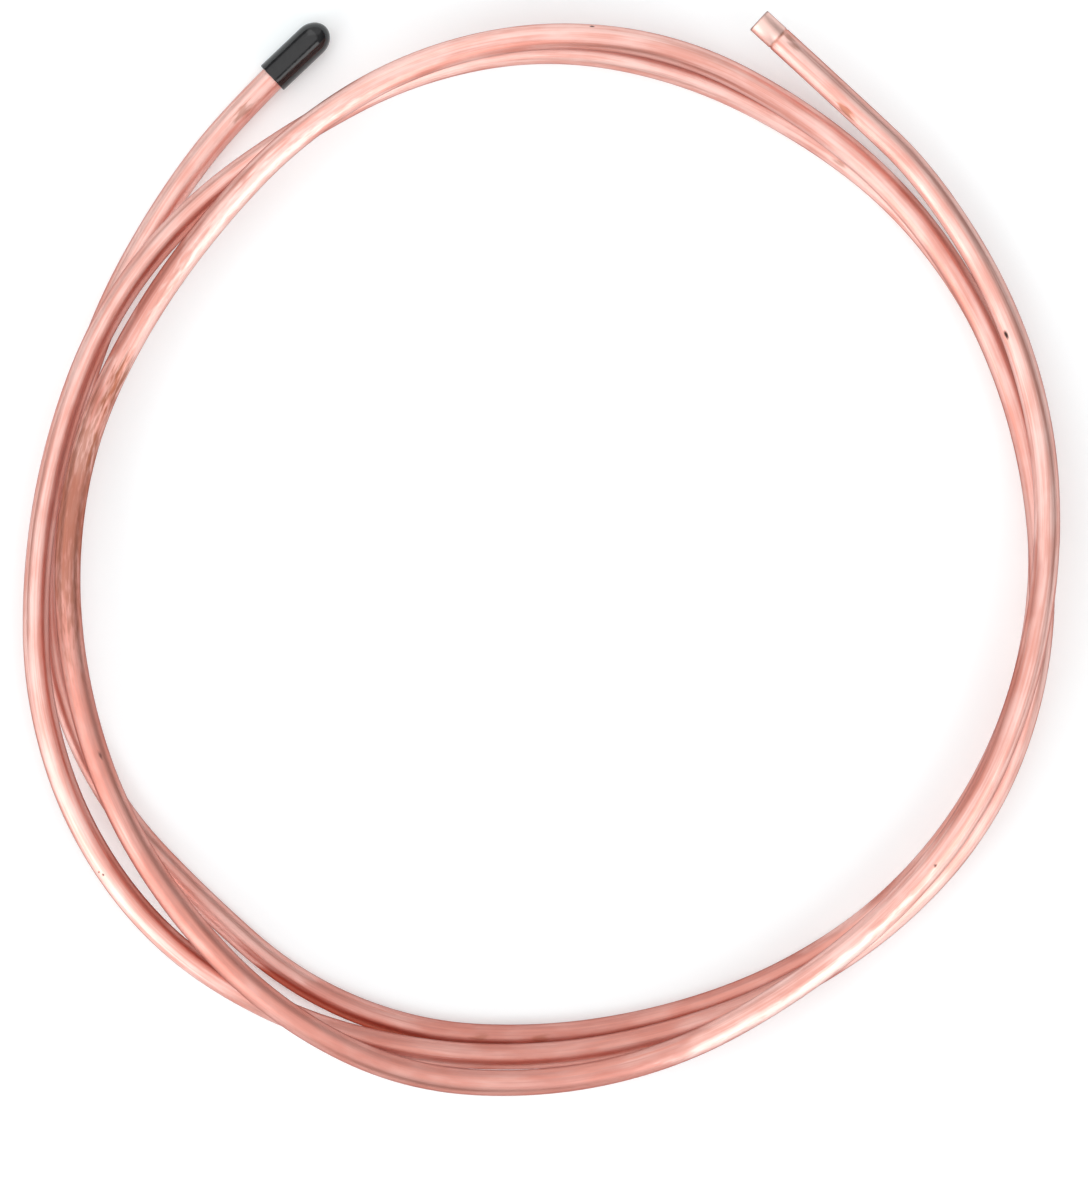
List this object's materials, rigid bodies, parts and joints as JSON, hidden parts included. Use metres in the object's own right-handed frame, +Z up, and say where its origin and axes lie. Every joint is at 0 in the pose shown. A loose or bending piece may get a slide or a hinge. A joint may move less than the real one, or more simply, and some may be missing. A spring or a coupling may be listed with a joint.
{
  "type": "copper tube coil",
  "caption": "Loose flat coil of soft bright copper tube, open and cut square at one end, with a black vinyl cap pushed over the other end.",
  "frame": {"origin": "middle of the coil's footprint on the floor that it lies on", "axes": "+Z up from the floor, +Y towards the side where the two tube ends stand out of the coil, +X to the right with the cut end right of the capped end"},
  "size_m": [0.2393, 0.2505, 0.0186],
  "materials": {
    "copper": "bright drawn copper with light handling marks",
    "black_vinyl": "glossy dip-moulded soft vinyl"
  },
  "bodies": {
    "root": {"copper_tube": "copper", "end_cap": "black_vinyl"}
  },
  "joints": []
}
